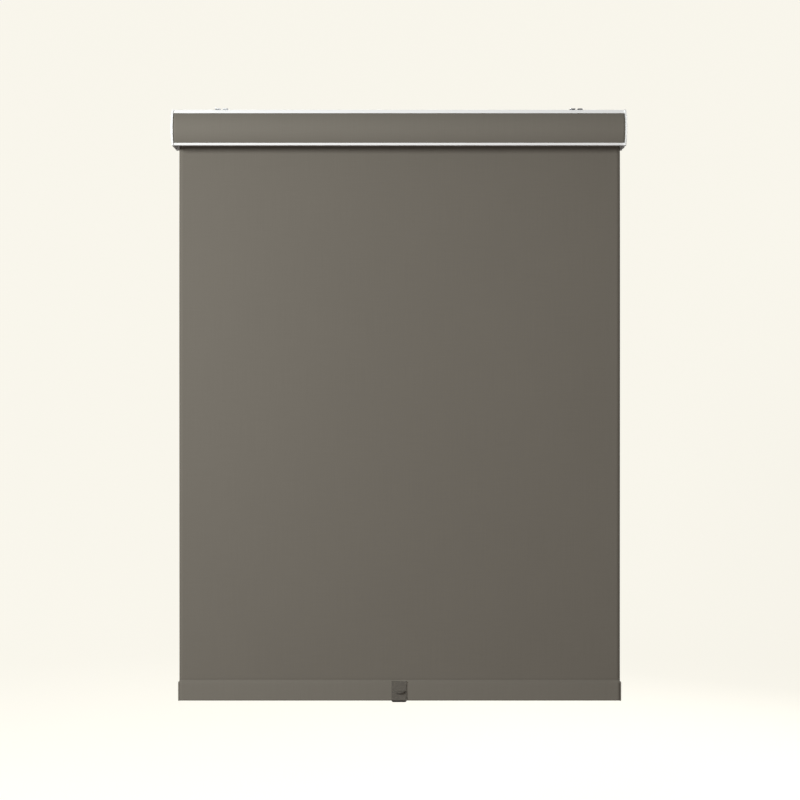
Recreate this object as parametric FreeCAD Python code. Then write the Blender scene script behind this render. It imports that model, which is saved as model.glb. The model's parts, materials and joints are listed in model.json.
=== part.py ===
"""Cordless spring roller blind in a curved cassette. Millimetres, X right, Y back, Z up.

The origin is the centre of the four fixing holes, in the top plane of the two mounting brackets.
The front of the blind faces -Y, and the blind is fully lowered.
"""
import FreeCAD, Part
import math
import os

from FreeCAD import Vector

# ---- Overall sizes
BLIND_WIDTH = 908.0  # over the end caps
DROP = 1191.9  # bracket top to the underside of the hem bar
CASE_HEIGHT = 71.0
CASE_FRONT = -40.0  # foremost line of the fascia's curve
CASE_BACK = 38.0

# ---- Fits between pieces
SLIDING_GAP = 0.10  # pieces that slide together and stay
RUNNING_GAP = 0.05  # a shaft in the bore that turns on it
FREE_GAP = 0.3  # pieces that pass each other without touching
SKIN_GAP = 0.05  # cloth against what it lies on

# ---- Mounting brackets
BRACKET_INSET = 99.0  # bracket centre to the outside of the end cap
BRACKET_SHEET = 1.4
BRACKET_WIDTH = 26.0
BRACKET_FRONT = -26.0
HOLE_SPACING_Y = 18.0
HOLE_RADIUS = 2.4
FINGER_NOTCH = 5.0
NOTCH_MARGIN = 1.0  # notch past the front hooks' web
FINGER_CORNER = 2.5
REAR_TONGUE_WIDTH = 15.0
BRACKET_HEADROOM = 1.6  # under the bracket's plate to the top of the case

# ---- Headrail
WALL = 1.5
LIP_SHEET = 1.2
CHANNEL_DEPTH = 5.0  # case top to the top face of the channel's floor
FRONT_UPSTAND = -20.9
FRONT_LIP_REACH = 6.4
REAR_LIP_REACH = 6.5
BACK_RETURN = 5.5
CLIP_TIP_FRONT = -25.4
CLIP_TIP_DEPTH = 2.0
CLIP_TIP_SHEET = 1.2

# ---- Screw ports and end cap screws
PORT_RADIUS = 3.4
PORT_BORE = 1.95
PORT_SLOT = 1.6
PORT_SINK = 0.4  # how far a port sinks into the wall it grows from
REAR_PORT_INSET = 8.0
LOW_PORT_RISE = 8.5
SCREW_SHANK = 1.85
SCREW_HEAD_RADIUS = 3.4
SCREW_HEAD = 1.7
SCREW_SUNK = 0.2  # screw's head below the end cap's face
SCREW_EDGE = 0.5
SCREW_LENGTH = 16.0
DRIVE_SLOT = (3.6, 0.7, 0.9)  # length, width and depth of the cross recess

# ---- Fascia and its insert
FASCIA_RADIUS = 56.0
FASCIA_DROOP = 1.55  # the curve's centre below the middle of the case
BED_STEP = 1.7
OVERHANG_SKIN = 0.6
UPPER_LIP = 7.6
LOWER_LIP = 4.1
OVERHANG = 2.0
INSERT_SHEET = 1.0
FASCIA_TOP_REACH = 5.5
FASCIA_HOOK_GAP = 1.1
FASCIA_HOOK_SHEET = 1.4
BOTTOM_RETURN = 6.0
BOTTOM_UPTURN = 3.5

# ---- End caps
CAP_SHEET = 3.5
CAP_PROUD = 0.5
CAP_FRONT_PROUD = 1.5
CAP_CORNER = 2.5
CAP_EDGE = 0.8
CAP_RIM_DEPTH = 4.0
CAP_RIM_SHEET = 1.4
CAP_RIM_MARGIN = 14.0
PEG_RADIUS = 2.0
PEG_OFFSET = 13.0
PEG_LENGTH = 2.3

# ---- Roller
ROLLER_Y = -2.0
TUBE_RADIUS = 19.0
TUBE_WALL = 1.2
DRIVE_ROOM = 5.0  # left cap's inner face to the tube's end
IDLE_ROOM = 2.6  # right cap's inner face to the tube's end
GROOVE_RADIUS = 1.35
GROOVE_DEPTH = 2.5
GROOVE_MOUTH = 1.3
GROOVE_WALL = 1.2
SPLINE_GAP = 0.1
KEY_WIDTH = 2.0
KEY_HEIGHT = 1.2
KEY_ANGLES = (120.0, 240.0)

# ---- Cloth
CLOTH = 0.4
CLOTH_EDGE = 0.2  # tube's end to the cloth's edge
TURNS_LEFT = 2  # turns of cloth on the tube when the blind is down
CLOTH_GAP = 0.15  # hanging cloth to the roll

# ---- Spring unit
PLATE_SHEET = 1.5
PLATE_WIDTH = 38.0
PLATE_HEIGHT = 22.0
TANG = (8.0, 5.0)  # height and depth of the shaft head's flat tang
TANG_SHORT = 0.2  # tang's end to the end cap
COLLAR_RADIUS = 7.0
CROWN_FLANGE = 1.4
FLANGE_RADIUS = 18.6
JOURNAL_RADIUS = 8.0
JOURNAL_LENGTH = 12.5
DRUM_RADIUS = 6.0
DRUM_LENGTH = 12.5
SEAT_RADIUS = 5.0
SEAT_LENGTH = 14.0
BRAKE_CAVITY = 10.5
BRAKE_WIRE = 0.6
BRAKE_TURNS = 6
SHAFT_RADIUS = 3.0
SHAFT_SOCKET = 32.0
SHAFT_REACH = 332.0  # left cap's inner face to the shaft's free end
ANCHOR_LENGTH = 15.0
ANCHOR_BOSS = 13.0
SPRING_WIRE = 0.9
SPRING_TURNS = 28
CLIP_SHEET = 0.8
CLIP_RADIUS = 5.5
CLIP_GROOVE = 0.4
CLIP_MOUTH = 4.0
SHAFT_END = 4.0

# ---- Idle end
IDLE_FLANGE = 1.2
IDLE_PLUG_LENGTH = 39.0
IDLE_FLOOR = 3.0
PIN_RADIUS = 4.0
PIN_TIP_RADIUS = 3.0
PIN_TIP_LENGTH = 4.0
PIN_TIP_CHAMFER = 0.6
PIN_COLLAR_LENGTH = 19.0
STEM_RADIUS = 1.5
STEM_SHOW = 3.0
RETAINER_SHEET = 1.1
RETAINER_RADIUS = 3.0
PIN_WIRE = 0.4
PIN_SPRING_RADIUS = 3.1
PIN_SPRING_TURNS = 8
BUSH_FLANGE = 1.0
BUSH_FLANGE_RADIUS = 9.0
BUSH_RADIUS = 5.0
BUSH_DEPTH = 2.9
BUSH_FLOOR = 0.3

# ---- Hem bar
HEM_HEIGHT = 38.0
HEM_DEPTH = 9.0
HEM_CORNER = 2.0
HEM_WALL = 1.2
HEM_GROOVE_DROP = 7.0
HEM_CAP = 2.1
HEM_CAP_PROUD = 0.3
HEM_CAP_CHAMFER = 2.0
HEM_CAP_EDGE = 0.5
HEM_CAP_PLUG = 6.0

# ---- Pull handle
PULL_WIDTH = 30.3
PULL_PLATE = 2.2
PULL_CHAMFER = 2.5
PULL_TOP_BEND = 0.8
PULL_LOW_BEND = 1.8
PULL_LIP = 1.4
PULL_HOOK = 2.5
PULL_HOOK_RISE = 5.0
LEDGE_DROP = 17.0  # top of the hem bar to the ends of the finger ledge
LEDGE_WIDTH = 28.0
LEDGE_SAG = 2.0
LEDGE_SHEET = 1.8
LEDGE_REACH = 9.0

# ---- Places worked out from the sizes above
CASE_LENGTH = BLIND_WIDTH - 2 * CAP_SHEET
LEFT = -CASE_LENGTH / 2
RIGHT = CASE_LENGTH / 2
CASE_TOP = -BRACKET_SHEET - BRACKET_HEADROOM
CASE_BOTTOM = CASE_TOP - CASE_HEIGHT
FLOOR_TOP = CASE_TOP - CHANNEL_DEPTH
FLOOR_UNDER = FLOOR_TOP - WALL
LIP_TOP = CASE_TOP - WALL
LIP_UNDER = LIP_TOP - LIP_SHEET
ARC_Y = CASE_FRONT + FASCIA_RADIUS
ARC_Z = (CASE_TOP + CASE_BOTTOM) / 2 - FASCIA_DROOP
BED_RADIUS = FASCIA_RADIUS - BED_STEP
INNER_RADIUS = BED_RADIUS - WALL
AXIS = (ROLLER_Y, (CASE_TOP + CASE_BOTTOM) / 2)
TUBE_LEFT = LEFT + DRIVE_ROOM
TUBE_RIGHT = RIGHT - IDLE_ROOM
TUBE_BORE = TUBE_RADIUS - TUBE_WALL
RIB_WIDTH = 2 * (GROOVE_RADIUS + GROOVE_WALL)
RIB_FOOT = TUBE_RADIUS - GROOVE_DEPTH - GROOVE_RADIUS - GROOVE_WALL
KEY_FOOT = TUBE_BORE - KEY_HEIGHT
KEY_TOP = TUBE_BORE + TUBE_WALL / 2  # ribs and keys end inside the tube's wall
ROLL_INNER = TUBE_RADIUS + SKIN_GAP
ROLL_RADIUS = ROLL_INNER + TURNS_LEFT * CLOTH
CLOTH_X = (TUBE_LEFT + CLOTH_EDGE, TUBE_RIGHT - CLOTH_EDGE)
CLOTH_FRONT = ROLLER_Y + ROLL_RADIUS + CLOTH_GAP
CLOTH_Y = CLOTH_FRONT + CLOTH / 2
HEM_TOP = HEM_HEIGHT - DROP
HEM_Y = (CLOTH_Y - HEM_DEPTH / 2, CLOTH_Y + HEM_DEPTH / 2)
SKIN = CLOTH + SKIN_GAP * 2  # hem pocket's outside to the bar inside it
SCREW_SEAT = SCREW_HEAD + SCREW_SUNK
COLLAR_END = TUBE_LEFT - CROWN_FLANGE - SLIDING_GAP
JOURNAL_END = COLLAR_END + JOURNAL_LENGTH
DRUM_END = JOURNAL_END + DRUM_LENGTH
SEAT_END = DRUM_END + SEAT_LENGTH
SHAFT_TIP = LEFT + SHAFT_REACH
CLIP_X = (SHAFT_TIP - SHAFT_END, SHAFT_TIP - SHAFT_END + CLIP_SHEET)
ANCHOR_RIGHT = CLIP_X[0] - FREE_GAP
ANCHOR_LEFT = ANCHOR_RIGHT - ANCHOR_LENGTH
SPRING_INNER = SEAT_RADIUS + FREE_GAP
IDLE_LEFT = TUBE_RIGHT - IDLE_PLUG_LENGTH
BUSH_FACE = RIGHT - BUSH_FLANGE
PIN_SHOULDER = BUSH_FACE - FREE_GAP * 2
PIN_BACK = PIN_SHOULDER - PIN_COLLAR_LENGTH
PIN_END = BUSH_FACE + PIN_TIP_LENGTH - BUSH_FLOOR
RETAINER_X = (IDLE_LEFT - SLIDING_GAP * 2 - RETAINER_SHEET, IDLE_LEFT - SLIDING_GAP * 2)


def block(x, y, z):
    """Box between a low and a high limit on each axis."""
    low = Vector(x[0], y[0], z[0])
    return Part.makeBox(x[1] - x[0], y[1] - y[0], z[1] - z[0], low)


def rod(radius, x, centre=AXIS):
    """Cylinder along X between two limits."""
    start = Vector(x[0], *centre)
    return Part.makeCylinder(radius, x[1] - x[0], start, Vector(1, 0, 0))


def ring(outer, inner, x, centre=AXIS):
    """Tube along X between two limits."""
    return rod(outer, x, centre).cut(rod(inner, x, centre))


def joined(pieces):
    """One solid made of overlapping pieces."""
    first, *others = pieces
    return first.fuse(others).removeSplitter() if others else first


def without(solid, cutters):
    """A solid with every cutter taken away."""
    for cutter in cutters:
        solid = solid.cut(cutter)
    return solid


def edges_at(solid, x):
    """Edges of a solid that lie in the plane at x."""
    return [e for e in solid.Edges if all(abs(v.X - x) < 1e-4 for v in e.Vertexes)]


def edges_along_x(solid):
    """Straight edges of a solid that run along X."""
    return [e for e in solid.Edges if abs(e.Vertexes[0].X - e.Vertexes[-1].X) > 1]


def bend(before, corner, after, radius):
    """Steps that round a right-angled corner of an outline."""
    here = Vector(0, *corner)
    back = (Vector(0, *before) - here).normalize() * radius
    ahead = (Vector(0, *after) - here).normalize() * radius
    start = here + back
    via = here + (back + ahead) * (1 - math.sqrt(0.5))
    end = here + ahead
    return [(start.y, start.z), ((via.y, via.z), (end.y, end.z))]


def outline(steps, x):
    """Closed wire in the plane at x. A step is a corner (y, z), or (via, end) for an arc."""
    edges = []
    here = first = Vector(x, *steps[0])
    for step in steps[1:] + [steps[0]]:
        if isinstance(step[0], tuple):
            via, end = (Vector(x, *point) for point in step)
            edges.append(Part.Arc(here, via, end).toShape())
        else:
            end = Vector(x, *step)
            edges.append(Part.LineSegment(here, end).toShape())
        here = end
    assert here.isEqual(first, 1e-6)
    return Part.Wire(edges)


def extruded(steps, x):
    """Solid with this outline between two limits on X."""
    return Part.Face(outline(steps, x[0])).extrude(Vector(x[1] - x[0], 0, 0))


def coil(radius, wire, turns, x, centre=AXIS):
    """Round-wire coil along X, whose ends lie inside the two limits."""
    length = x[1] - x[0] - 2 * wire
    helix = Part.makeHelix(length / turns, length, radius)
    start = Vector(radius, 0, 0)
    section = Part.Wire([Part.makeCircle(wire, start, helix.Edges[0].tangentAt(0))])
    solid = Part.Wire(helix.Edges).makePipeShell([section], True, True)
    solid.rotate(Vector(0, 0, 0), Vector(0, 1, 0), 90)
    solid.translate(Vector(x[0] + wire, *centre))
    return solid


def on_arc(radius, z):
    """Point of the case's front curve, at this radius and height."""
    return (ARC_Y - math.sqrt(radius**2 - (z - ARC_Z) ** 2), z)


def arc_to(radius, z_from, z_to):
    """Step along the front curve from one height to another."""
    return (on_arc(radius, (z_from + z_to) / 2), on_arc(radius, z_to))


def arc_band(outer, inner, z_low, z_high, x):
    """Curved strip that follows the front of the case."""
    steps = [
        on_arc(outer, z_high),
        arc_to(outer, z_high, z_low),
        on_arc(inner, z_low),
        arc_to(inner, z_low, z_high),
    ]
    return extruded(steps, x)


def port_centres():
    """Centres of the three screw ports, as (y, z), with the direction each slot opens."""
    rear_top = (CASE_BACK - REAR_PORT_INSET, FLOOR_UNDER - PORT_RADIUS + PORT_SINK)
    low = CASE_BOTTOM + LOW_PORT_RISE
    rear_low = (CASE_BACK - WALL - PORT_RADIUS + PORT_SINK, low)
    front_low = on_arc(INNER_RADIUS - PORT_RADIUS + PORT_SINK, low)
    return {
        "rear_top": (rear_top, (0, -1)),
        "rear_low": (rear_low, (-1, 0)),
        "front_low": (front_low, (1, 0)),
    }


def with_port(body, name, x):
    """Body with one slotted screw port grown on it."""
    (y, z), (dy, dz) = port_centres()[name]
    reach = PORT_RADIUS + 1
    half = PORT_SLOT / 2
    slot_y = (min(0, dy * reach) - half * abs(dz), max(0, dy * reach) + half * abs(dz))
    slot_z = (min(0, dz * reach) - half * abs(dy), max(0, dz * reach) + half * abs(dy))
    slot = block(x, (y + slot_y[0], y + slot_y[1]), (z + slot_z[0], z + slot_z[1]))
    bored = joined([body, rod(PORT_RADIUS, x, (y, z))])
    return without(bored, [rod(PORT_BORE, x, (y, z)), slot])


def headrail():
    """Aluminium extrusion: bracket channel on top, back wall, and a tip that the fascia hooks on."""
    inside = CASE_BACK - WALL
    steps = [
        (CLIP_TIP_FRONT, FLOOR_UNDER - CLIP_TIP_DEPTH),
        (CLIP_TIP_FRONT + CLIP_TIP_SHEET, FLOOR_UNDER - CLIP_TIP_DEPTH),
        (CLIP_TIP_FRONT + CLIP_TIP_SHEET, FLOOR_UNDER),
        (inside, FLOOR_UNDER),
        (inside, CASE_BOTTOM + WALL),
        (inside - BACK_RETURN, CASE_BOTTOM + WALL),
        (inside - BACK_RETURN, CASE_BOTTOM),
        (CASE_BACK, CASE_BOTTOM),
        (CASE_BACK, CASE_TOP),
        (inside, CASE_TOP),
        (inside, LIP_TOP),
        (inside - REAR_LIP_REACH, LIP_TOP),
        (inside - REAR_LIP_REACH, LIP_UNDER),
        (inside, LIP_UNDER),
        (inside, FLOOR_TOP),
        (FRONT_UPSTAND + WALL, FLOOR_TOP),
        (FRONT_UPSTAND + WALL, LIP_UNDER),
        (FRONT_UPSTAND + FRONT_LIP_REACH, LIP_UNDER),
        (FRONT_UPSTAND + FRONT_LIP_REACH, LIP_TOP),
        (FRONT_UPSTAND, LIP_TOP),
        (FRONT_UPSTAND, FLOOR_TOP),
        (CLIP_TIP_FRONT, FLOOR_TOP),
    ]
    x = (LEFT, RIGHT)
    rail = extruded(steps, x)
    for name in ("rear_top", "rear_low"):
        rail = with_port(rail, name, x)
    return rail


def fascia():
    """Curved front with two lips that hold the insert, and a hook behind the headrail's tip."""
    skin = FASCIA_RADIUS - OVERHANG_SKIN
    upper = CASE_TOP - UPPER_LIP
    lower = CASE_BOTTOM + LOWER_LIP
    hook_top = FLOOR_UNDER - CLIP_TIP_DEPTH - FASCIA_HOOK_GAP
    hook_under = hook_top - FASCIA_HOOK_SHEET
    hook_y = CLIP_TIP_FRONT + CLIP_TIP_SHEET
    hook_end = hook_y + FASCIA_HOOK_SHEET
    return_end = on_arc(INNER_RADIUS, CASE_BOTTOM + WALL)[0] + BOTTOM_RETURN
    steps = [
        on_arc(FASCIA_RADIUS, CASE_TOP),
        arc_to(FASCIA_RADIUS, CASE_TOP, upper),
        on_arc(skin, upper),
        arc_to(skin, upper, upper + OVERHANG),
        on_arc(BED_RADIUS, upper + OVERHANG),
        arc_to(BED_RADIUS, upper + OVERHANG, lower - OVERHANG),
        on_arc(skin, lower - OVERHANG),
        arc_to(skin, lower - OVERHANG, lower),
        on_arc(FASCIA_RADIUS, lower),
        arc_to(FASCIA_RADIUS, lower, CASE_BOTTOM),
        (return_end, CASE_BOTTOM),
        (return_end, CASE_BOTTOM + BOTTOM_UPTURN),
        (return_end - WALL, CASE_BOTTOM + BOTTOM_UPTURN),
        (return_end - WALL, CASE_BOTTOM + WALL),
        on_arc(INNER_RADIUS, CASE_BOTTOM + WALL),
        arc_to(INNER_RADIUS, CASE_BOTTOM + WALL, hook_under),
        (hook_end, hook_under),
        (hook_end, FLOOR_UNDER - SLIDING_GAP),
        (hook_y, FLOOR_UNDER - SLIDING_GAP),
        (hook_y, hook_top),
        on_arc(INNER_RADIUS, hook_top),
        arc_to(INNER_RADIUS, hook_top, LIP_TOP),
        (on_arc(INNER_RADIUS, LIP_TOP)[0] + FASCIA_TOP_REACH, LIP_TOP),
        (on_arc(INNER_RADIUS, LIP_TOP)[0] + FASCIA_TOP_REACH, CASE_TOP),
    ]
    x = (LEFT, RIGHT)
    return with_port(extruded(steps, x), "front_low", x)


def fascia_insert():
    """Cloth-covered strip that slides in behind the two lips."""
    inner = BED_RADIUS + SKIN_GAP
    high = CASE_TOP - UPPER_LIP + OVERHANG - FREE_GAP
    low = CASE_BOTTOM + LOWER_LIP - OVERHANG + FREE_GAP
    return arc_band(inner + INSERT_SHEET, inner, low, high, (LEFT, RIGHT))


def cap_outline():
    """Side view of an end cap, larger than the case all round and most of all in front."""
    top = CASE_TOP + CAP_PROUD
    low = CASE_BOTTOM - CAP_PROUD
    back = CASE_BACK + CAP_PROUD
    radius = FASCIA_RADIUS + CAP_FRONT_PROUD
    front_low = on_arc(radius, low)
    front_top = on_arc(radius, top)
    return [
        front_top,
        arc_to(radius, top, low),
        *bend(front_low, (back, low), (back, top), CAP_CORNER),
        *bend((back, low), (back, top), front_top, CAP_CORNER),
    ]


def end_cap(side):
    """Moulded cap. side is -1 for the left one, which holds the drive, and 1 for the right one."""
    inner = side * CASE_LENGTH / 2
    outer = side * BLIND_WIDTH / 2
    face = (min(inner, outer), max(inner, outer))
    rim_end = inner - side * CAP_RIM_DEPTH
    rim_x = (min(inner, rim_end), max(inner, rim_end))
    rim_z = (CASE_BOTTOM + CAP_RIM_MARGIN, CASE_TOP - CAP_RIM_MARGIN)
    rim_radius = INNER_RADIUS - SLIDING_GAP
    back = CASE_BACK - WALL - SLIDING_GAP
    plate = extruded(cap_outline(), face)
    pieces = [
        plate.makeFillet(CAP_EDGE, edges_at(plate, outer)),
        arc_band(rim_radius, rim_radius - CAP_RIM_SHEET, *rim_z, rim_x),
        block(rim_x, (back - CAP_RIM_SHEET, back), rim_z),
    ]
    if side < 0:
        peg_x = (face[1], face[1] + PEG_LENGTH)
        pieces += [rod(PEG_RADIUS, peg_x, (y, AXIS[1])) for y in peg_places()]
    cap = joined(pieces)
    for centre, _ in port_centres().values():
        head = (outer - side * SCREW_SEAT, outer + side)
        cap = without(cap, [
            rod(SCREW_SHANK + SLIDING_GAP, (face[0] - 1, face[1] + 1), centre),
            rod(SCREW_HEAD_RADIUS + SLIDING_GAP, (min(head), max(head)), centre),
        ])
    if side > 0:
        cap = cap.cut(rod(BUSH_RADIUS + RUNNING_GAP, (inner - 1, inner + BUSH_DEPTH + SLIDING_GAP)))
    return cap


def end_cap_screws(side):
    """Three self-tapping screws that hold an end cap."""
    outer = side * BLIND_WIDTH / 2
    seat = outer - side * SCREW_SEAT
    head = seat + side * SCREW_HEAD
    tip = seat - side * SCREW_LENGTH
    length, width, depth = DRIVE_SLOT
    recess = (min(head, head - side * depth), max(head, head - side * depth))
    screws = []
    for (y, z), _ in port_centres().values():
        button = rod(SCREW_HEAD_RADIUS, (min(seat, head), max(seat, head)), (y, z))
        screw = joined([
            button.makeFillet(SCREW_EDGE, edges_at(button, head)),
            rod(SCREW_SHANK, (min(seat, tip), max(seat, tip)), (y, z)),
        ])
        across = block(recess, (y - length / 2, y + length / 2), (z - width / 2, z + width / 2))
        upright = block(recess, (y - width / 2, y + width / 2), (z - length / 2, z + length / 2))
        screws.append(without(screw, [across, upright]))
    return Part.makeCompound(screws)


def mounting_bracket(side):
    """Pressed steel bracket: two fingers over the case's front lip, hooks below, a tongue behind."""
    centre = side * (BLIND_WIDTH / 2 - BRACKET_INSET)
    half = BRACKET_WIDTH / 2
    sheet = BRACKET_SHEET
    across = (centre - half, centre + half)
    foot_top = LIP_UNDER
    foot_under = foot_top - sheet
    front_web = FRONT_UPSTAND + FRONT_LIP_REACH + FREE_GAP
    front_foot = FRONT_UPSTAND + WALL + FREE_GAP
    rear_web = CASE_BACK - WALL - REAR_LIP_REACH - FREE_GAP
    rear_foot = CASE_BACK - WALL - FREE_GAP * 2
    tongue = (centre - REAR_TONGUE_WIDTH / 2, centre + REAR_TONGUE_WIDTH / 2)
    plate = block(across, (BRACKET_FRONT, rear_web), (-sheet, 0))
    corners = [e for e in plate.Edges if all(abs(v.Y - BRACKET_FRONT) < 1e-6 for v in e.Vertexes)]
    corners = [e for e in corners if abs(e.Vertexes[0].Z - e.Vertexes[1].Z) > sheet / 2]
    pieces = [
        plate.makeFillet(FINGER_CORNER, corners),
        block(across, (front_web, front_web + sheet), (foot_under, 0)),
        block(across, (front_foot, front_web + sheet), (foot_under, foot_top)),
        block(tongue, (rear_web - sheet, rear_web), (foot_under, 0)),
        block(tongue, (rear_web - sheet, rear_foot), (foot_under, foot_top)),
    ]
    notch_end = front_web + sheet + NOTCH_MARGIN
    notch = (centre - FINGER_NOTCH / 2, centre + FINGER_NOTCH / 2)
    cutters = [block(notch, (BRACKET_FRONT - 1, notch_end), (foot_under - 1, 1))]
    for y in (-HOLE_SPACING_Y / 2, HOLE_SPACING_Y / 2):
        cutters.append(Part.makeCylinder(HOLE_RADIUS, sheet + 2, Vector(centre, y, -sheet - 1)))
    return without(joined(pieces), cutters)


def peg_places():
    """Where the drive plate's two pegs stand, along Y."""
    return (AXIS[0] - PEG_OFFSET, AXIS[0] + PEG_OFFSET)


def centred(half_y, half_z, x):
    """Box centred on the roller's axis."""
    y, z = AXIS
    return block(x, (y - half_y, y + half_y), (z - half_z, z + half_z))


def drive_bracket():
    """Socket plate inside the left cap. Its slot stops the spring shaft from turning."""
    plate_end = LEFT + PLATE_SHEET
    plate = joined([
        centred(PLATE_WIDTH / 2, PLATE_HEIGHT / 2, (LEFT, plate_end)),
        rod(COLLAR_RADIUS, (LEFT, COLLAR_END)),
    ])
    half_y, half_z = TANG[1] / 2 + RUNNING_GAP, TANG[0] / 2 + RUNNING_GAP
    cutters = [centred(half_y, half_z, (LEFT - 1, COLLAR_END + 1))]
    for y in peg_places():
        cutters.append(rod(PEG_RADIUS + RUNNING_GAP, (LEFT - 1, plate_end + 1), (y, AXIS[1])))
    return without(plate, cutters)


def shaft_head():
    """Fixed head: flat tang, journal for the crown, drum for the brake, seat for the spring."""
    head = joined([
        centred(TANG[1] / 2, TANG[0] / 2, (LEFT + TANG_SHORT, COLLAR_END + 1)),
        rod(JOURNAL_RADIUS, (COLLAR_END, JOURNAL_END)),
        rod(DRUM_RADIUS, (COLLAR_END, DRUM_END)),
        rod(SEAT_RADIUS, (COLLAR_END, SEAT_END)),
    ])
    return head.cut(rod(SHAFT_RADIUS + RUNNING_GAP, (SEAT_END - SHAFT_SOCKET, SEAT_END + 1)))


def spring_shaft():
    """Steel rod that runs through the spring, grooved for its clip."""
    shaft = rod(SHAFT_RADIUS, (SEAT_END - SHAFT_SOCKET, SHAFT_TIP))
    return shaft.cut(ring(SHAFT_RADIUS + 1, SHAFT_RADIUS - CLIP_GROOVE, CLIP_X))


def shaft_clip():
    """E-clip that keeps the spring anchor on the shaft."""
    bore = SHAFT_RADIUS - CLIP_GROOVE + RUNNING_GAP / 2
    y, z = AXIS
    mouth = block(CLIP_X, (y - CLIP_MOUTH / 2, y + CLIP_MOUTH / 2), (z - CLIP_RADIUS - 1, z))
    return ring(CLIP_RADIUS, bore, CLIP_X).cut(mouth)


def brake_spring():
    """Wrap spring on the drum, which holds the blind at any height."""
    return coil(
        DRUM_RADIUS + RUNNING_GAP + BRAKE_WIRE,
        BRAKE_WIRE,
        BRAKE_TURNS,
        (JOURNAL_END + FREE_GAP, DRUM_END - FREE_GAP),
    )


def power_spring():
    """Torsion spring between the shaft head and the anchor in the tube."""
    x = (DRUM_END + FREE_GAP, ANCHOR_LEFT)
    return coil(SPRING_INNER + SPRING_WIRE, SPRING_WIRE, SPRING_TURNS, x)


def ribs(gap, x):
    """The tube's groove rib and two keys, grown by a gap, as solids between two limits."""
    y, z = AXIS
    sizes = [(RIB_WIDTH, RIB_FOOT, 0.0)] + [(KEY_WIDTH, KEY_FOOT, angle) for angle in KEY_ANGLES]
    solids = []
    for width, foot, angle in sizes:
        half = width / 2 + gap
        rib = block(x, (y - half, y + half), (z + foot - gap, z + KEY_TOP))
        rib.rotate(Vector(0, y, z), Vector(1, 0, 0), angle)
        solids.append(rib)
    return solids


def groove_centre():
    """Centre of the tube's cloth groove, as (y, z)."""
    return (AXIS[0], AXIS[1] + TUBE_RADIUS - GROOVE_DEPTH)


def roller_tube():
    """Aluminium tube with a cloth groove on top and two inner keys."""
    x = (TUBE_LEFT, TUBE_RIGHT)
    y, z = groove_centre()
    tube = joined([ring(TUBE_RADIUS, TUBE_BORE, x)] + ribs(0.0, x))
    mouth = block(x, (y - GROOVE_MOUTH / 2, y + GROOVE_MOUTH / 2), (z, z + GROOVE_DEPTH + 1))
    return without(tube, [rod(GROOVE_RADIUS, x, (y, z)), mouth])


def fabric_spline():
    """Round spline that holds the cloth's top edge in the tube."""
    return rod(GROOVE_RADIUS - SPLINE_GAP, CLOTH_X, groove_centre())


def plug(x):
    """Moulded plug that fits the tube's bore and its keys."""
    body = rod(TUBE_BORE - RUNNING_GAP, x)
    longer = (x[0] - 1, x[1] + 1)
    return without(body, ribs(SLIDING_GAP, longer))


def tube_crown():
    """Drive end plug: turns on the shaft head's journal and covers the brake."""
    flange = (TUBE_LEFT - CROWN_FLANGE, TUBE_LEFT)
    crown = joined([rod(FLANGE_RADIUS, flange), plug((TUBE_LEFT, DRUM_END))])
    return without(crown, [
        rod(JOURNAL_RADIUS + RUNNING_GAP, (flange[0] - 1, DRUM_END)),
        rod(BRAKE_CAVITY, (JOURNAL_END, DRUM_END + 1)),
    ])


def spring_anchor():
    """Plug that ties the spring's far end to the tube and turns on the shaft."""
    anchor = joined([
        plug((ANCHOR_LEFT, ANCHOR_RIGHT)),
        rod(SPRING_INNER - RUNNING_GAP, (ANCHOR_LEFT - ANCHOR_BOSS, ANCHOR_RIGHT)),
    ])
    bore = (ANCHOR_LEFT - ANCHOR_BOSS - 1, ANCHOR_RIGHT + 1)
    return anchor.cut(rod(SHAFT_RADIUS + RUNNING_GAP, bore))


def idle_plug():
    """Idle end plug with a deep bore for the spring-loaded pin."""
    flange = (TUBE_RIGHT, TUBE_RIGHT + IDLE_FLANGE)
    body = joined([rod(FLANGE_RADIUS, flange), plug((IDLE_LEFT, TUBE_RIGHT))])
    return without(body, [
        rod(PIN_RADIUS + RUNNING_GAP, (IDLE_LEFT + IDLE_FLOOR, flange[1] + 1)),
        rod(STEM_RADIUS + RUNNING_GAP, (IDLE_LEFT - 1, IDLE_LEFT + IDLE_FLOOR + 1)),
    ])


def idle_pin():
    """Stepped pin: a tip for the bush, a collar for the plug's bore and a stem for the retainer."""
    stem_end = RETAINER_X[0] - STEM_SHOW
    pin = joined([
        rod(PIN_RADIUS, (PIN_BACK, PIN_SHOULDER)),
        rod(PIN_TIP_RADIUS, (PIN_BACK, PIN_END)),
        rod(STEM_RADIUS, (stem_end, PIN_BACK + 1)),
    ])
    return pin.makeChamfer(PIN_TIP_CHAMFER, edges_at(pin, PIN_END))


def pin_retainer():
    """Ring on the stem that stops the pin from leaving the plug."""
    return ring(RETAINER_RADIUS, STEM_RADIUS + RUNNING_GAP / 2, RETAINER_X)


def pin_spring():
    """Compression spring behind the idle pin."""
    return coil(PIN_SPRING_RADIUS, PIN_WIRE, PIN_SPRING_TURNS, (IDLE_LEFT + IDLE_FLOOR, PIN_BACK))


def idle_bush():
    """Flanged bush in the right cap, in which the pin's tip turns."""
    bush = joined([
        rod(BUSH_FLANGE_RADIUS, (BUSH_FACE, RIGHT)),
        rod(BUSH_RADIUS, (BUSH_FACE, RIGHT + BUSH_DEPTH)),
    ])
    return bush.cut(rod(PIN_TIP_RADIUS + RUNNING_GAP, (BUSH_FACE - 1, PIN_END + BUSH_FLOOR / 2)))


def fabric_roll():
    """Turns of cloth left on the tube when the blind is down."""
    return ring(ROLL_RADIUS, ROLL_INNER, CLOTH_X)


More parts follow.
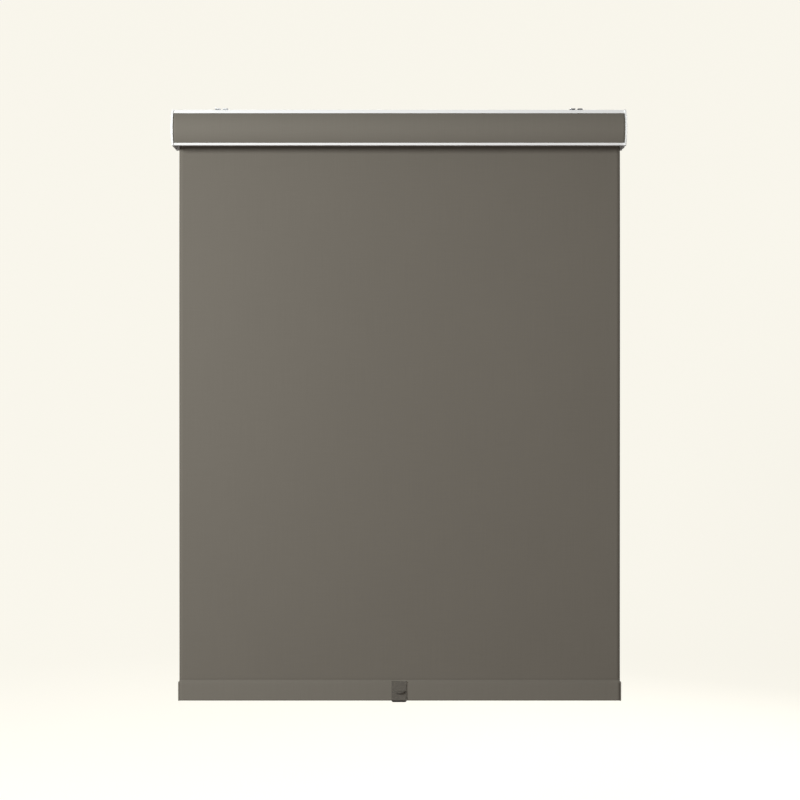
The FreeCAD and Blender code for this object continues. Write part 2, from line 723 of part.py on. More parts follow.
def shade_cloth():
    """The hanging cloth, from the back of the roll to the hem."""
    return block(CLOTH_X, (CLOTH_FRONT, CLOTH_FRONT + CLOTH), (HEM_TOP, AXIS[1]))


def rounded_bar(inset, corner, x):
    """Bar with the hem's outline, made smaller all round by an inset."""
    y = (HEM_Y[0] + inset, HEM_Y[1] - inset)
    z = (HEM_TOP - HEM_HEIGHT + inset, HEM_TOP - inset)
    bar = block(x, y, z)
    return bar.makeFillet(corner, edges_along_x(bar))


def hem_groove():
    """Centre of the hem bar's spline groove, as (y, z)."""
    return (HEM_Y[1] - SKIN - GROOVE_DEPTH, HEM_TOP - HEM_GROOVE_DROP)


def hem_bar():
    """Hollow aluminium bar with a spline groove in its back."""
    outer = rounded_bar(SKIN, HEM_CORNER - SKIN, CLOTH_X)
    hollow = rounded_bar(SKIN + HEM_WALL, HEM_WALL / 4, CLOTH_X)
    y, z = hem_groove()
    half = GROOVE_RADIUS + HEM_WALL
    back = HEM_Y[1] - SKIN
    rib = block(CLOTH_X, (y - half, back - HEM_WALL / 2), (z - half, z + half))
    bar = joined([outer.cut(hollow), rib])
    mouth = block(CLOTH_X, (y, back + 1), (z - GROOVE_MOUTH / 2, z + GROOVE_MOUTH / 2))
    return without(bar, [rod(GROOVE_RADIUS, CLOTH_X, (y, z)), mouth])


def hem_pocket():
    """Cloth wrapped round the hem bar."""
    outer = rounded_bar(0.0, HEM_CORNER, CLOTH_X)
    return outer.cut(rounded_bar(CLOTH, HEM_CORNER - CLOTH, CLOTH_X))


def hem_spline():
    """Round spline that holds the cloth's free edge in the hem bar."""
    return rod(GROOVE_RADIUS - SPLINE_GAP, CLOTH_X, hem_groove())


def hem_end_cap(side):
    """Moulded cap with chamfered corners and a plug that enters the bar."""
    inner = CLOTH_X[0] if side < 0 else CLOTH_X[1]
    outer = inner + side * HEM_CAP
    x = (min(inner, outer), max(inner, outer))
    y = (HEM_Y[0] - HEM_CAP_PROUD, HEM_Y[1] + HEM_CAP_PROUD)
    z = (HEM_TOP - HEM_HEIGHT - HEM_CAP_PROUD, HEM_TOP + HEM_CAP_PROUD)
    cap = block(x, y, z)
    cap = cap.makeChamfer(HEM_CAP_CHAMFER, edges_along_x(cap))
    cap = cap.makeFillet(HEM_CAP_EDGE, edges_at(cap, outer))
    inset = SKIN + HEM_WALL + SLIDING_GAP
    plug_end = inner - side * HEM_CAP_PLUG
    plug_x = (min(inner, plug_end), max(inner, plug_end))
    plug_top = hem_groove()[1] - GROOVE_RADIUS - HEM_WALL - FREE_GAP
    tongue = block(
        plug_x,
        (HEM_Y[0] + inset, HEM_Y[1] - inset),
        (HEM_TOP - HEM_HEIGHT + inset, plug_top),
    )
    return joined([cap, tongue])


def pull_handle():
    """Clip-on finger pull: plate, curved ledge, lip over the shoulder and hook underneath."""
    half = PULL_WIDTH / 2
    back = HEM_Y[0] - SKIN_GAP
    front = back - PULL_PLATE
    low = HEM_TOP - HEM_HEIGHT - SKIN_GAP
    high = HEM_TOP + SKIN_GAP
    top = high + PULL_LIP
    under = low - PULL_HOOK
    lip_end = CLOTH_FRONT - FREE_GAP
    hook = HEM_Y[1] + SKIN_GAP
    rear = hook + PULL_PLATE
    tip = low + PULL_HOOK_RISE
    steps = [
        (lip_end, top),
        *bend((lip_end, top), (front, top), (front, under), PULL_TOP_BEND),
        *bend((front, top), (front, under), (rear, under), PULL_LOW_BEND),
        *bend((front, under), (rear, under), (rear, tip), PULL_LOW_BEND),
        (rear, tip),
        (hook, tip),
        (hook, low),
        (back, low),
        (back, high),
        (lip_end, high),
    ]
    handle = joined([extruded(steps, (-half, half)), finger_ledge(front)])
    corners = []
    for side in (-1, 1):
        foot = Vector(side * half, front, under)
        inward = foot - Vector(side * PULL_CHAMFER, 0, 0)
        upward = foot + Vector(0, 0, PULL_CHAMFER)
        corner = Part.Face(Part.makePolygon([foot, inward, upward, foot]))
        corners.append(corner.extrude(Vector(0, rear - front, 0)))
    return without(handle, corners)


def finger_ledge(plate_front):
    """Half-moon ledge that sags in the middle and stands out from the handle's plate."""
    half = LEDGE_WIDTH / 2
    root = plate_front + PULL_PLATE / 2
    reach = LEDGE_REACH + PULL_PLATE / 2
    high = HEM_TOP - LEDGE_DROP
    low = high - LEDGE_SHEET
    points = [Vector(x, root, high - sag) for x, sag in ((-half, 0), (0, LEDGE_SAG), (half, 0))]
    upper = Part.Arc(*points).toShape()
    lower = upper.translated(Vector(0, 0, low - high))
    sides = [Part.makeLine(upper.Vertexes[i].Point, lower.Vertexes[i].Point) for i in (0, 1)]
    strip = Part.Face(Part.Wire([upper, sides[1], lower, sides[0]])).extrude(Vector(0, -reach, 0))
    radius = (half**2 + reach**2) / (2 * reach)
    centre = Vector(0, root - reach + radius, low - LEDGE_SAG - 1)
    return strip.common(Part.makeCylinder(radius, LEDGE_SAG + LEDGE_SHEET + 2, centre))


def main():
    """Write every sub-part to parts/NODE.step."""
    os.makedirs("parts", exist_ok=True)
    nodes = {
        "headrail": headrail(),
        "fascia": fascia(),
        "fascia_insert": fascia_insert(),
        "drive_bracket": drive_bracket(),
        "idle_bush": idle_bush(),
        "spring_shaft": spring_shaft(),
        "shaft_head": shaft_head(),
        "brake_spring": brake_spring(),
        "shaft_clip": shaft_clip(),
        "shade_cloth": shade_cloth(),
        "roller_tube": roller_tube(),
        "tube_crown": tube_crown(),
        "spring_anchor": spring_anchor(),
        "power_spring": power_spring(),
        "idle_plug": idle_plug(),
        "pin_spring": pin_spring(),
        "fabric_roll": fabric_roll(),
        "fabric_spline": fabric_spline(),
        "idle_pin": idle_pin(),
        "pin_retainer": pin_retainer(),
        "hem_bar": hem_bar(),
        "hem_pocket": hem_pocket(),
        "hem_spline": hem_spline(),
        "pull_handle": pull_handle(),
    }
    for word, side in (("left", -1), ("right", 1)):
        nodes["end_cap_" + word] = end_cap(side)
        nodes["end_cap_screws_" + word] = end_cap_screws(side)
        nodes["mounting_bracket_" + word] = mounting_bracket(side)
        nodes["hem_end_cap_" + word] = hem_end_cap(side)
    for name, shape in nodes.items():
        assert shape.isValid(), name
        shape.exportStep("parts/" + name + ".step")


main()
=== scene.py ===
"""Looks of a spring roller blind: blackout cloth, coated case, mouldings, plating and a studio."""

import json
import math

import bmesh
import bpy
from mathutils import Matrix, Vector, noise


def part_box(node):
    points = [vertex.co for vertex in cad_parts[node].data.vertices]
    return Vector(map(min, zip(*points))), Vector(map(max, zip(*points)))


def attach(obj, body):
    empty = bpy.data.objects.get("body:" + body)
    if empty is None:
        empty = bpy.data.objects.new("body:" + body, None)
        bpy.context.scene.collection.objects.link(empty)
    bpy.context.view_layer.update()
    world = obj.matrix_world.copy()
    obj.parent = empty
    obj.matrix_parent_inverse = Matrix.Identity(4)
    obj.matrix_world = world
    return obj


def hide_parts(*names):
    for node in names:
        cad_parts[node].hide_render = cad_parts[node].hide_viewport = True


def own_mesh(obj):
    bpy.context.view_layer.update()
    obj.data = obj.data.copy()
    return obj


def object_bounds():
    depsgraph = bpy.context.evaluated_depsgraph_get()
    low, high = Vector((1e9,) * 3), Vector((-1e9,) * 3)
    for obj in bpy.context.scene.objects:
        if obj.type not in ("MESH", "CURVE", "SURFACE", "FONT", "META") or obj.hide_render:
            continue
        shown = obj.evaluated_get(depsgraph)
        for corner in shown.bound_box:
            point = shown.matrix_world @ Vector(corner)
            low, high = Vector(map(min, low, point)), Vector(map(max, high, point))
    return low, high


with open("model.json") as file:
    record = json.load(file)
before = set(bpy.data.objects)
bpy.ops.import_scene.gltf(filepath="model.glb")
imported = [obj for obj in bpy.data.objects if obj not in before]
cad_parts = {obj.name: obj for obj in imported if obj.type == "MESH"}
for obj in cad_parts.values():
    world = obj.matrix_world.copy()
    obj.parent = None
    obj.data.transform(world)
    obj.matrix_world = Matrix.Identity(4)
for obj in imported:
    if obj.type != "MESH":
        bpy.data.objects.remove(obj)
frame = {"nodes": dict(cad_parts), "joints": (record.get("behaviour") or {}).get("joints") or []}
CAD_BOX = [list(corner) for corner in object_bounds()]

MM = 0.001
CLOTH = 0.4 * MM  # thickness of the blackout cloth
THREAD = 0.62 * MM  # spacing of its yarns
STRIP = 1.0 * MM  # thickness of the stiffened cloth strip on the case
STRIP_BULGE = 55.35 * MM  # radius of the strip's face
WOUND_TURNS = 1.9
WOUND_PITCH = 0.45 * MM
SEAM_HEIGHT = 1.0 * MM  # how far the hem's weld reaches up the drop
SHOULDER = 1.9 * MM  # radius of the cloth over the hem bar's corners
WELD_BEND = 1.8 * MM  # radius where the cloth leaves the drop for the bar
SLACK = 3.2 * MM  # depth of the one slow wave across the drop
RIPPLE = 1.2 * MM  # depth of its uneven ripple
EDGE_CURL = 0.7 * MM  # how far the drop's cut edges curl forward
CURL_REACH = 14 * MM  # how far in from the edge the curl dies away
SLEEVE_UNEVEN = 0.06 * MM
POCKET_GAP = 0.05 * MM  # from the sleeve to the space kept for it
LAP = 1.1 * CLOTH  # from the middle of the drop to the middle of each welded lap
CAMERA_DISTANCE = 3.0
CAMERA_ASIDE = 1.9 * MM
CAMERA_ABOVE_MIDDLE = 14.4 * MM
LENS = 67.9
SENSOR = 36

JOINTS = {joint["name"]: joint for joint in frame["joints"]}
AXIS_Y, AXIS_Z = JOINTS["roller_turn"]["pos_m"][1:]


# ---------------------------------------------------------------- shader maths

class Signal:
    """One output of a finish's node tree, with arithmetic that adds the Math nodes."""

    def __init__(self, finish, socket):
        self.finish = finish
        self.socket = socket

    def math(self, operation, *values):
        return self.finish.node("ShaderNodeMath", {"operation": operation}, dict(enumerate(values)))

    def __add__(self, other):
        return self.math("ADD", self, other)

    __radd__ = __add__

    def __sub__(self, other):
        return self.math("SUBTRACT", self, other)

    def __rsub__(self, other):
        return self.math("SUBTRACT", other, self)

    def __mul__(self, other):
        return self.math("MULTIPLY", self, other)

    __rmul__ = __mul__

    def sine(self):
        return self.math("SINE", self)

    def size(self):
        return self.math("ABSOLUTE", self)

    def rise(self, low, high):
        """0 below low, 1 above high, and smooth between."""
        settings = {"interpolation_type": "SMOOTHSTEP"}
        inputs = {"Value": self, "From Min": low, "From Max": high}
        return self.finish.node("ShaderNodeMapRange", settings, inputs)


class Finish:
    """A material and the means to draw its surface."""

    def __init__(self, name, **constants):
        self.material = bpy.data.materials.new(name)
        self.material.use_nodes = True
        self.tree = self.material.node_tree
        self.shader = self.tree.nodes["Principled BSDF"]
        for socket, value in constants.items():
            self.wear(socket.replace("_", " "), value)

    def node(self, kind, settings=None, inputs=None, output=0):
        """Any node: its settings first, then the values or links of its inputs."""
        made = self.tree.nodes.new(kind)
        for name, value in (settings or {}).items():
            setattr(made, name, value)
        for name, value in (inputs or {}).items():
            self.feed(made.inputs[name], value)
        return Signal(self, made.outputs[output])

    def feed(self, socket, value):
        if isinstance(value, Signal):
            self.tree.links.new(value.socket, socket)
        elif socket.type == "RGBA":
            socket.default_value = (*value, 1.0)
        else:
            socket.default_value = value

    def wear(self, socket, value):
        """Give one of the shader's sockets its value, the same all over or changing."""
        self.feed(self.shader.inputs[socket], value)

    def place(self):
        """Position on the piece, in metres."""
        return self.node("ShaderNodeTexCoord", output="Object")

    def laid_flat(self):
        """Position on the cloth before it was hung, in metres."""
        return self.node("ShaderNodeUVMap", {"uv_map": "laid_flat"})

    def part(self, vector, letter):
        return self.node("ShaderNodeSeparateXYZ", inputs={"Vector": vector}, output=letter)

    def scaled(self, vector, x, y, z):
        settings = {"operation": "MULTIPLY"}
        return self.node("ShaderNodeVectorMath", settings, {0: vector, 1: (x, y, z)})

    def cloud(self, vector, scale, detail=2.0, roughness=0.5):
        """Soft noise about 0.5."""
        inputs = {"Vector": vector, "Scale": scale, "Detail": detail, "Roughness": roughness}
        return self.node("ShaderNodeTexNoise", inputs=inputs)

    def between(self, share, first, second):
        """Colour between two colours."""
        return self.node("ShaderNodeMix", {"data_type": "RGBA"}, {0: share, 6: first, 7: second}, 2)

    def relief(self, height, distance, strength):
        inputs = {"Height": height, "Distance": distance, "Strength": strength}
        self.wear("Normal", self.node("ShaderNodeBump", inputs=inputs))


# ---------------------------------------------------------------- finishes

def blackout_face(name, light, dark):
    """Dense plain weave with slightly uneven yarns."""
    cloth = Finish(name, Sheen_Weight=0.10, Sheen_Roughness=0.5, Specular_IOR_Level=0.30)
    flat = cloth.laid_flat()
    warp = (cloth.part(flat, "X") * (math.pi / THREAD)).sine()
    weft = (cloth.part(flat, "Y") * (math.pi / THREAD)).sine()
    yarns = (warp.size() + weft.size()) * 0.3 + warp * weft * 0.2 + 0.2
    slub = cloth.cloud(cloth.scaled(flat, 16, 900, 1), 1, 3)
    streak = cloth.cloud(cloth.scaled(flat, 700, 9, 1), 1, 3)
    bloom = cloth.cloud(flat, 6, 3, 0.6)
    shade = bloom * 0.3 + slub * 0.35 + streak * 0.35
    tone = (shade - 0.5) * 1.4 + (yarns - 0.5) * 0.3 + 0.5
    cloth.wear("Base Color", cloth.between(tone, dark, light))
    cloth.wear("Roughness", 0.84 - yarns * 0.14 + (bloom - 0.5) * 0.1)
    cloth.relief(yarns + slub * 0.4 + streak * 0.4, 0.09 * MM, 0.5)
    return cloth.material


def blackout_backing():
    """Smooth foam coating on the window side of the cloth."""
    backing = Finish("blackout_cloth_backing", Specular_IOR_Level=0.38)
    flat = backing.laid_flat()
    grain = backing.cloud(flat, 900)
    cloudy = backing.cloud(flat, 11, 4, 0.6)
    drag = backing.cloud(backing.scaled(flat, 260, 3, 1), 1)
    shade = cloudy * 0.6 + drag * 0.4
    backing.wear("Base Color", backing.between(shade, BACKING_DEEP, BACKING))
    backing.wear("Roughness", 0.52 + grain * 0.12 + (cloudy - 0.5) * 0.1)
    backing.relief(grain * 0.4 + drag * 0.6, 0.05 * MM, 0.5)
    return backing.material


def powder_coat():
    """Satin white coating with a faint orange peel and a film of dust."""
    coat = Finish("white_powder_coat", Coat_Roughness=0.2)
    place = coat.place()
    peel = coat.cloud(place, 420)
    fine = coat.cloud(place, 1600, 1)
    dust = coat.cloud(coat.scaled(place, 6, 20, 20), 1, 4, 0.6).rise(0.42, 0.75)
    coat.wear("Base Color", coat.between(dust * 0.5, COAT_WHITE, COAT_DUSTY))
    coat.wear("Roughness", 0.32 + dust * 0.1 + (fine - 0.5) * 0.06)
    coat.wear("Coat Weight", 0.3 - dust * 0.15)
    coat.relief(peel * 0.8 + fine * 0.2, 0.03 * MM, 0.5)
    return coat.material


def moulding(name, colour, tint, gloss, grain_size=900, depth=0.03 * MM):
    """Injection moulding: spark-eroded grain and faint flow marks."""
    plastic = Finish(name)
    place = plastic.place()
    grain = plastic.cloud(place, grain_size, 3, 0.6)
    flow = plastic.cloud(plastic.scaled(place, 30, 8, 60), 1, 3)
    scuff = plastic.cloud(place, 90, 5, 0.7).rise(0.55, 0.8)
    plastic.wear("Base Color", plastic.between(flow * 0.6 + scuff * 0.4, colour, tint))
    plastic.wear("Roughness", gloss + (grain - 0.5) * 0.14 + scuff * 0.12)
    plastic.relief(grain, depth, 0.6)
    return plastic.material


def clear_moulding():
    """Smoky clear plastic of the pull: flow lines, rubbed places, and painted shade that darkens it
    towards and below the foot of the hem bar.
    """
    clear = Finish("smoky_clear", Transmission_Weight=0.6, IOR=1.49)
    place = clear.place()
    rubbed = clear.cloud(place, 260, 3).rise(0.35, 0.8)
    flow = clear.cloud(clear.scaled(place, 40, 90, 160), 1)
    bar_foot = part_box("hem_pocket")[0].z
    # painted shade: the pull goes near black from just above the hem bar's foot downwards
    painted_foot_shade = (bar_foot - clear.part(place, "Z")).rise(-2.2 * MM, 0.4 * MM)
    body = clear.between(rubbed, SMOKE, SMOKE_RUBBED)
    clear.wear("Base Color", clear.between(painted_foot_shade, body, SMOKE_PAINTED_SHADE))
    clear.wear("Roughness", 0.07 + rubbed * 0.1)
    clear.relief(flow * 0.7 + rubbed * 0.3, 0.1 * MM, 0.35)
    return clear.material


def drawn_metal(name, light, dark, gloss, lines_along, line_share):
    """Bare metal with drawing lines. lines_along scales the three directions."""
    metal = Finish(name, Metallic=1.0)
    place = metal.place()
    lines = metal.cloud(metal.scaled(place, *lines_along), 1, 3, 0.6)
    stain = metal.cloud(place, 34, 4, 0.6)
    fine = metal.cloud(place, 1200)
    metal.wear("Base Color", metal.between(lines * 0.5 + stain * 0.5, dark, light))
    metal.wear("Roughness", gloss + (lines - 0.5) * 0.2 + stain.rise(0.5, 0.8) * 0.12)
    metal.relief(lines * line_share + fine * (1 - line_share), 0.02 * MM, 0.6)
    return metal.material


def studio_paint():
    """Pale matt paint of the studio, lit a little from within like a light tent."""
    paint = Finish("studio_paint", Specular_IOR_Level=0.1, Emission_Strength=0.86,
                   Emission_Color=STUDIO_CREAM)
    marks = paint.cloud(paint.place(), 2, 4)
    paint.wear("Base Color", paint.between(marks, (0.350, 0.345, 0.330), (0.340, 0.335, 0.320)))
    paint.wear("Roughness", 0.85 + marks * 0.1)
    return paint.material


TAUPE = (0.140, 0.125, 0.105)
TAUPE_DEEP = (0.115, 0.102, 0.085)
# lighter taupe: painted light on the case strip and the hem sleeve, which are the drop's cloth; also
# the hem end caps' own colour
TAUPE_LIGHTENED = (0.158, 0.143, 0.121)
TAUPE_LIGHTENED_DEEP = (0.130, 0.117, 0.099)
BACKING = (0.30, 0.28, 0.25)
BACKING_DEEP = (0.25, 0.235, 0.205)
COAT_WHITE = (0.92, 0.92, 0.935)
COAT_DUSTY = (0.89, 0.89, 0.895)
SMOKE = (0.230, 0.210, 0.185)
SMOKE_RUBBED = (0.270, 0.250, 0.220)
# near-black painted shade for the pull's foot
SMOKE_PAINTED_SHADE = (0.012, 0.010, 0.009)
STUDIO_CREAM = (1.0, 0.975, 0.885)

drop_face = blackout_face("blackout_cloth_face", TAUPE, TAUPE_DEEP)
# painted light: a lighter copy of the drop's cloth for the case strip and the hem sleeve
painted_light_face = blackout_face("painted_light_cloth_face", TAUPE_LIGHTENED, TAUPE_LIGHTENED_DEEP)
back_cloth = blackout_backing()
white_coat = powder_coat()
white_plastic = moulding("white_moulding", (0.94, 0.94, 0.945), (0.90, 0.90, 0.905), 0.36)
taupe_plastic = moulding("taupe_moulding", TAUPE_LIGHTENED, TAUPE_LIGHTENED_DEEP, 0.42)
grey_nylon = moulding("grey_nylon", (0.30, 0.31, 0.32), (0.22, 0.23, 0.24), 0.46, 600, 0.05 * MM)
pale_plastic = moulding("pale_spline", (0.74, 0.73, 0.68), (0.66, 0.65, 0.60), 0.40)
smoky_clear = clear_moulding()
zinc = drawn_metal("zinc_plate", (0.80, 0.81, 0.82), (0.60, 0.62, 0.66), 0.30, (300, 60, 300), 0.5)
aluminium = drawn_metal("mill_aluminium", (0.82, 0.82, 0.83), (0.68, 0.68, 0.70), 0.28,
                        (9, 1500, 1500), 0.8)
spring_steel = drawn_metal("spring_steel", (0.46, 0.46, 0.48), (0.30, 0.29, 0.29), 0.26,
                           (120, 800, 800), 0.5)

FINISHED = {
    white_coat: ["headrail", "fascia"],
    white_plastic: ["end_cap_left", "end_cap_right"],
    zinc: ["end_cap_screws_left", "end_cap_screws_right", "mounting_bracket_left",
           "mounting_bracket_right"],
    grey_nylon: ["drive_bracket", "idle_bush", "shaft_head", "tube_crown", "spring_anchor",
                 "idle_plug"],
    spring_steel: ["spring_shaft", "shaft_clip", "brake_spring", "power_spring", "pin_spring",
                   "idle_pin", "pin_retainer"],
    aluminium: ["roller_tube", "hem_bar"],
    pale_plastic: ["fabric_spline", "hem_spline"],
    taupe_plastic: ["hem_end_cap_left", "hem_end_cap_right"],
    smoky_clear: ["pull_handle"],
}


def finish_hard_parts():
    """Give every carried-over part its finish."""
    for material, names in FINISHED.items():
        for name in names:
            mesh = frame["nodes"][name].data
            mesh.materials.clear()
            mesh.materials.append(material)


# ---------------------------------------------------------------- cloth pieces

def sheet_mesh(name, columns, rows, spot, thickness, face_side):
    """Thin closed sheet. spot(i, j) gives the middle point, the face's normal and the flat place."""
    mesh = bmesh.new()
    laid_flat = mesh.loops.layers.uv.new("laid_flat")
    flat_of = {}
    grids = [[], []]
    for i in range(columns + 1):
        for grid in grids:
            grid.append([])
        for j in range(rows + 1):
            point, normal, flat = spot(i, j)
            for grid, side in zip(grids, (0.5, -0.5)):
                vertex = mesh.verts.new(point + normal * side * thickness)
                flat_of[vertex] = flat
                grid[i].append(vertex)

    def face(corners, side):
        made = mesh.faces.new(corners)
        made.material_index = side
        made.smooth = True
        for loop in made.loops:
            loop[laid_flat].uv = flat_of[loop.vert]

    for side, grid in enumerate(grids):
        for i in range(columns):
            for j in range(rows):
                face((grid[i][j], grid[i + 1][j], grid[i + 1][j + 1], grid[i][j + 1]), side)
    rim = [(i, 0) for i in range(columns)] + [(columns, j) for j in range(rows)]
    rim += [(i, rows) for i in range(columns, 0, -1)] + [(0, j) for j in range(rows, 0, -1)]
    front, back = grids
    for (i, j), (m, n) in zip(rim, rim[1:] + rim[:1]):
        face((front[i][j], front[m][n], back[m][n], back[i][j]), 0)
    bmesh.ops.recalc_face_normals(mesh, faces=mesh.faces)
    data = bpy.data.meshes.new(name)
    mesh.to_mesh(data)
    mesh.free()
    data.materials.append(face_side)
    data.materials.append(back_cloth)
    piece = bpy.data.objects.new(name, data)
    bpy.context.collection.objects.link(piece)
    return piece


def wander(x, z, seed):
    """Smooth unevenness between about -1 and 1."""
    return noise.noise(Vector((x, z, seed)))


def strip_mesh(name, path, low_x, high_x, columns, thickness, face_side, uneven=0.0):
    """Cloth whose section is a path of (y, z) points, and the path's length.
    The face is on the left of the path, seen from the blind's right end."""
    lengths = [0.0]
    for start, end in zip(path, path[1:]):
        lengths.append(lengths[-1] + math.dist(start, end))
    rows = len(path) - 1

    def spot(i, j):
        before, after = path[max(j - 1, 0)], path[min(j + 1, rows)]
        along = Vector((0, after[0] - before[0], after[1] - before[1])).normalized()
        normal = Vector((0, -along.z, along.y))
        x = low_x + (high_x - low_x) * i / columns
        lift = uneven * wander(x * 11, lengths[j] * 40, len(path))
        return Vector((x, *path[j])) + normal * lift, normal, (x, lengths[j])

    return sheet_mesh(name, columns, rows, spot, thickness, face_side), lengths[-1]


def arc(centre, radius, start, end, steps):
    """Points (y, z) round a centre, from one angle to another in degrees. 0 points at the wall."""
    angles = [math.radians(start + (end - start) * k / steps) for k in range(steps + 1)]
    return [(centre[0] + radius * math.cos(a), centre[1] + radius * math.sin(a)) for a in angles]


def line(start, end, steps):
    """Points between two ends, without the ends."""
    return [tuple(a + (b - a) * k / steps for a, b in zip(start, end)) for k in range(1, steps)]


def hanging_cloth():
    """The drop: straight at the roll and the hem bar, with a slow wave between them."""
    low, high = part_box("shade_cloth")
    width, drop, middle = high.x - low.x, high.z - low.z, (low.y + high.y) / 2
    columns, rows = 120, 150

    def spot(i, j):
        x, down = low.x + width * i / columns, drop * j / rows
        held = math.sin(math.pi * j / rows) ** 0.6
        ripple = RIPPLE * wander(x * 2.3 + down * 0.9, down * 0.6, 3.1)
        belly = SLACK * math.cos(2 * math.pi * (i / columns - 0.12 - 0.18 * j / rows))
        edge = min(i, columns - i) / columns * width
        curl = EDGE_CURL * math.exp(-edge / CURL_REACH)
        y = middle + held * (ripple - belly - curl)
        return Vector((x, y, high.z - down)), Vector((0, -1, 0)), (x, down)

    cloth = sheet_mesh("hanging_cloth", columns, rows, spot, CLOTH, drop_face)
    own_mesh(cloth)
    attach(cloth, "cassette")
    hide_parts("shade_cloth")


def wound_cloth():
    """The turns left on the tube. They start where the drop leaves it, at the wall side."""
    low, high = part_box("fabric_roll")
    drop_low, drop_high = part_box("shade_cloth")
    outer = (drop_low.y + drop_high.y) / 2 - AXIS_Y
    steps = 200
    path = []
    for step in range(steps + 1):
        turned = WOUND_TURNS * step / steps
        radius = outer - WOUND_PITCH * turned
        angle = 2 * math.pi * turned
        path.append((AXIS_Y + radius * math.cos(angle), AXIS_Z + radius * math.sin(angle)))
    roll, length = strip_mesh("wound_cloth", path, low.x, high.x, 50, CLOTH, drop_face)
    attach(roll, "roller")
    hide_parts("fabric_roll")


def case_strip():
    """Cloth strip held between the two lips of the case front."""
    low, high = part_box("fascia_insert")
    centre = (low.y + STRIP_BULGE, (low.z + high.z) / 2)
    reach = math.degrees(math.asin((high.z - centre[1]) / STRIP_BULGE))
    path = arc(centre, STRIP_BULGE - STRIP / 2, 180 + reach, 180 - reach, 34)
    # the strip wears the lighter copy of the drop's cloth, painted light
    strip, length = strip_mesh("case_strip", path, low.x, high.x, 160, STRIP, painted_light_face)
    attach(strip, "cassette")
    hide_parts("fascia_insert")


def hem_sleeve():
    """The cloth's end, turned round the hem bar and welded to the drop just above it."""
    low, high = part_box("hem_pocket")
    drop_low, drop_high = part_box("shade_cloth")
    middle = (drop_low.y + drop_high.y) / 2
    inset = CLOTH / 2 + POCKET_GAP
    front, back, top, foot = low.y + inset, high.y - inset, high.z - inset, low.z + inset
    half_turn = 1 - math.sqrt(0.5)
    across = middle - LAP - front  # from the bar's front face to the lap in front of the drop
    slope_top = top - SHOULDER * half_turn + across - (SHOULDER + WELD_BEND) * half_turn
    bend_z = slope_top + WELD_BEND * math.sqrt(0.5)
    weld_top = bend_z + SEAM_HEIGHT
    bar_top, bar_foot = top - SHOULDER, foot + SHOULDER
    path = [(middle + LAP, weld_top), (middle + LAP, bend_z + SEAM_HEIGHT / 2)]
    path += arc((middle + LAP + WELD_BEND, bend_z), WELD_BEND, 180, 225, 5)
    path += arc((back - SHOULDER, bar_top), SHOULDER, 45, 0, 6)
    path += line((back, bar_top), (back, bar_foot), 8)
    path += arc((back - SHOULDER, bar_foot), SHOULDER, 0, -90, 6)
    path += arc((front + SHOULDER, bar_foot), SHOULDER, 270, 180, 6)
    path += line((front, bar_foot), (front, bar_top), 12)
    path += arc((front + SHOULDER, bar_top), SHOULDER, 180, 135, 6)
    path += arc((middle - LAP - WELD_BEND, bend_z), WELD_BEND, 315, 360, 5)
    path += [(middle - LAP, bend_z + SEAM_HEIGHT / 2), (middle - LAP, weld_top)]
    # the sleeve wears the lighter copy of the drop's cloth, painted light
    sleeve, length = strip_mesh("hem_sleeve", path, low.x, high.x, 160, CLOTH, painted_light_face,
                                SLEEVE_UNEVEN)
    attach(sleeve, "hem")
    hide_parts("hem_pocket")


# ---------------------------------------------------------------- studio

def studio():
    """Pale bowl: a floor that curves up into round walls."""
    floor, middle, foot, radius, top = -1.75, 1.5, 4.0, 6.5, 3.4
    sweep = radius - foot
    curve_steps, sides = 12, 72
    profile = [(middle, floor), (foot, floor)]
    for step in range(1, curve_steps + 1):
        angle = math.radians(90 * step / curve_steps)
        profile.append((foot + sweep * math.sin(angle), floor + sweep * (1 - math.cos(angle))))
    profile.append((radius, top))
    mesh = bmesh.new()
    rings = []
    angles = [2 * math.pi * k / sides for k in range(sides)]
    for distance, height in profile:
        rings.append([mesh.verts.new((distance * math.cos(a), distance * math.sin(a), height))
                      for a in angles])
    mesh.faces.new(rings[0])
    for lower, upper in zip(rings, rings[1:]):
        for k in range(sides):
            mesh.faces.new((lower[k], lower[k - 1], upper[k - 1], upper[k])).smooth = True
    data = bpy.data.meshes.new("studio_bowl")
    mesh.to_mesh(data)
    mesh.free()
    data.materials.append(studio_paint())
    bowl = bpy.data.objects.new("studio_bowl", data)
    bpy.context.collection.objects.link(bowl)
    bowl.visible_diffuse = False
    bowl.visible_glossy = False
    bowl.visible_shadow = False


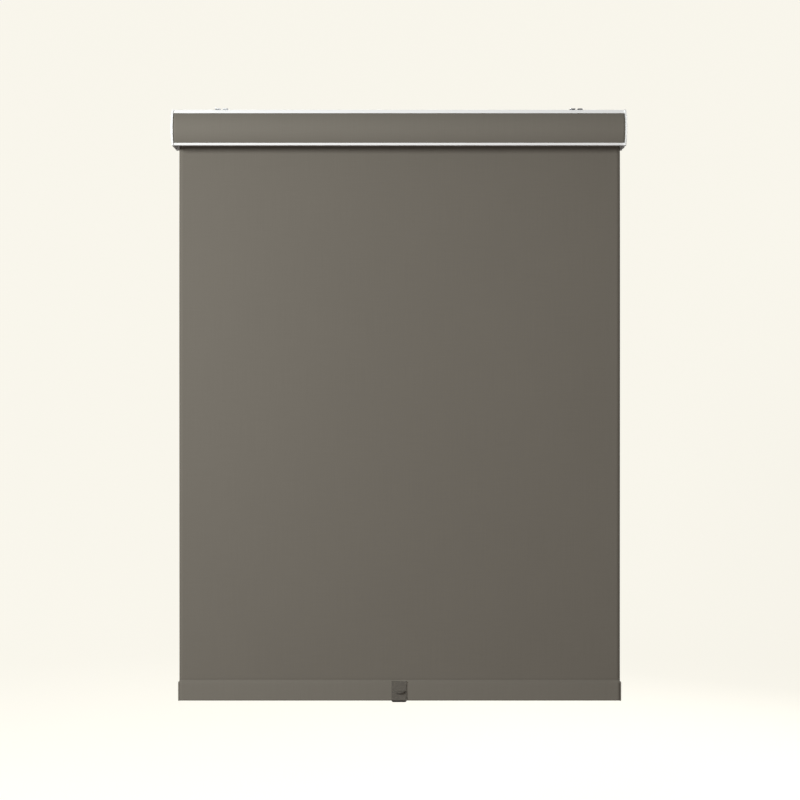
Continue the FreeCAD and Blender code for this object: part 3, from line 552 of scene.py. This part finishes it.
def soft_light(name, place, aim, size, power, colour):
    lamp = bpy.data.lights.new(name, "AREA")
    lamp.shape = "RECTANGLE"
    lamp.size, lamp.size_y = size
    lamp.energy = power
    lamp.color = colour
    holder = bpy.data.objects.new(name, lamp)
    holder.location = place
    holder.rotation_euler = (Vector(aim) - Vector(place)).to_track_quat("-Z", "Y").to_euler()
    holder.visible_camera = False
    bpy.context.collection.objects.link(holder)


def studio_light():
    """Key from the left, a weak fill in front, and lamps for the top, the back and the ends."""
    world = bpy.data.worlds.new("studio_air")
    world.use_nodes = True
    air = world.node_tree.nodes["Background"]
    air.inputs["Color"].default_value = (1.0, 0.94, 0.88, 1.0)
    air.inputs["Strength"].default_value = 0.12
    bpy.context.scene.world = world
    soft_light("key", (-1.75, -2.4, 0.12), (-0.1, 0.0, -0.45), (0.9, 0.6), 98, (0.965, 1.0, 0.985))
    soft_light("front_fill", (0.2, -3.2, -1.05), (0.0, 0.0, -0.8), (2.2, 0.7), 22, (1.0, 0.92, 0.86))
    soft_light("top_back", (0.0, 1.1, 1.5), (0.0, 0.0, -0.1), (1.8, 0.8), 24, (1.0, 0.98, 0.95))
    soft_light("wall_side", (1.6, 2.4, 0.2), (0.0, 0.0, -0.6), (1.4, 1.4), 30, (1.0, 0.98, 0.95))
    soft_light("right_end", (3.0, 0.5, -0.1), (0.4, 0.0, -0.4), (0.8, 1.2), 27, (1.0, 0.98, 0.95))
    soft_light("left_end", (-3.0, 0.5, -0.1), (-0.4, 0.0, -0.4), (0.8, 1.2), 8, (1.0, 0.98, 0.95))


def camera():
    """Stands square in front of the blind, a little above its middle."""
    low, high = (Vector(corner) for corner in CAD_BOX)
    lens = bpy.data.cameras.new("camera")
    lens.sensor_width = SENSOR
    lens.lens = LENS
    eye = bpy.data.objects.new("camera", lens)
    height = (low.z + high.z) / 2 + CAMERA_ABOVE_MIDDLE
    eye.location = (CAMERA_ASIDE, low.y - CAMERA_DISTANCE, height)
    eye.rotation_euler = (math.radians(90), 0, 0)
    bpy.context.collection.objects.link(eye)
    bpy.context.scene.camera = eye


finish_hard_parts()
hanging_cloth()
wound_cloth()
case_strip()
hem_sleeve()
studio()
studio_light()
camera()
bpy.context.scene.view_settings.view_transform = "Standard"
